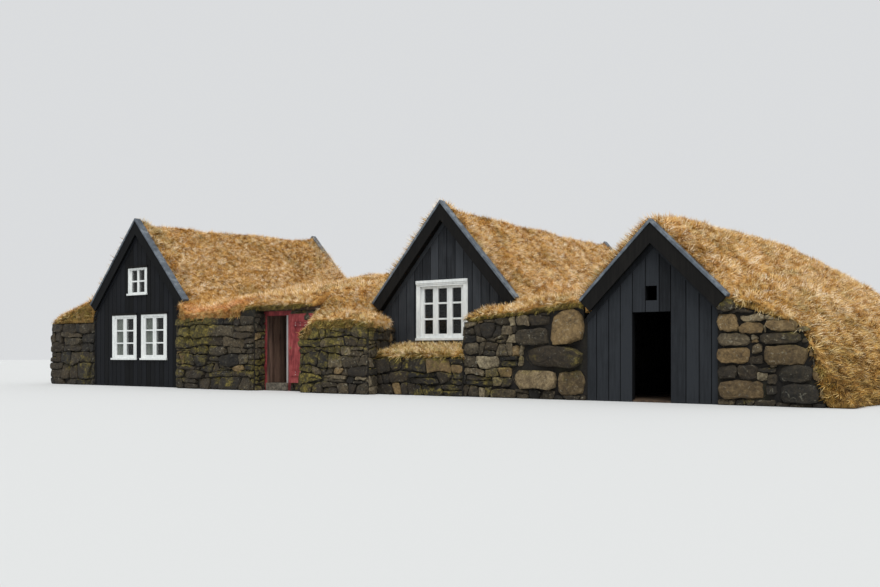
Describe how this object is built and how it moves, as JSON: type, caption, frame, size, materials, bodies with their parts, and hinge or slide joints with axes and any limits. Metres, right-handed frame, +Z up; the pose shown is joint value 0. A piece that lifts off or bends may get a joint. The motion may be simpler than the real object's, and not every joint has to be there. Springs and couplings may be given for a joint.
{
  "type": "turf farmhouse",
  "caption": "Turf farmhouse: black boarded gables between stone and turf walls under one grass-grown turf cover, with a hinged red passage door.",
  "frame": {"origin": "on the ground under the ridge of the middle house, in line with the fronts of the outer gables", "axes": "+X to the right along the fronts, +Y back into the house, +Z up"},
  "size_m": [25.29, 11.21, 5.2653],
  "materials": {
    "wall_stone": "rough weathered boulders",
    "turf": "dry golden grass",
    "black_boards": "tarred boards",
    "cap_boards": "worn grey-blue paint",
    "roof_boards": "bare boards",
    "red_boards": "weathered red paint",
    "white_frame": "white paint",
    "window_glass": "clear",
    "iron": "dark forged iron",
    "floor": "worn boards",
    "threshold": "worn slab"
  },
  "bodies": {
    "house": {"left_front_gable": "black_boards", "left_window_frames": "white_frame", "left_window_glass": "window_glass", "left_barge_boards": "black_boards", "left_cap_boards": "cap_boards", "left_roof_boards": "roof_boards", "left_roof_turf": "turf", "left_rear_gable": "black_boards", "left_outer_wall": "wall_stone", "left_floor": "floor", "left_inner_wall_front": "wall_stone", "left_inner_wall_rear": "wall_stone", "left_inner_wall_over_door": "wall_stone", "entry_door_frame": "red_boards", "entry_threshold": "threshold", "entry_hinge_pins": "iron", "entry_roof_boards": "roof_boards", "entry_turf": "turf", "entry_right_wall_front": "wall_stone", "entry_right_wall_rear": "wall_stone", "entry_right_wall_over_door": "wall_stone", "entry_rear_wall": "wall_stone", "entry_floor": "floor", "middle_front_gable": "black_boards", "middle_window_frame": "white_frame", "middle_window_glass": "window_glass", "middle_barge_boards": "black_boards", "middle_cap_boards": "cap_boards", "middle_roof_boards": "roof_boards", "middle_roof_turf": "turf", "middle_rear_gable": "black_boards", "middle_floor": "floor", "terrace_wall": "wall_stone", "terrace_turf": "turf", "jutting_wall": "wall_stone", "jutting_wall_turf": "turf", "shared_wall": "wall_stone", "shared_wall_turf": "turf", "right_gable_left": "black_boards", "right_gable_right": "black_boards", "right_gable_over_door": "black_boards", "right_barge_boards": "black_boards", "right_cap_boards": "cap_boards", "right_roof_boards": "roof_boards", "right_roof_turf": "turf", "right_rear_gable": "black_boards", "right_floor": "floor", "right_outer_wall": "wall_stone", "right_turf_bank": "turf"},
    "red_door": {"entry_door": "red_boards", "entry_door_hinges": "iron"}
  },
  "joints": [
    {"name": "red_door_hinge", "type": "hinge", "parent": "house", "child": "red_door", "pos_m": [-4.09, 0.039, 0], "axis": [0, 0, 1], "range_deg": [-180, 0]}
  ]
}
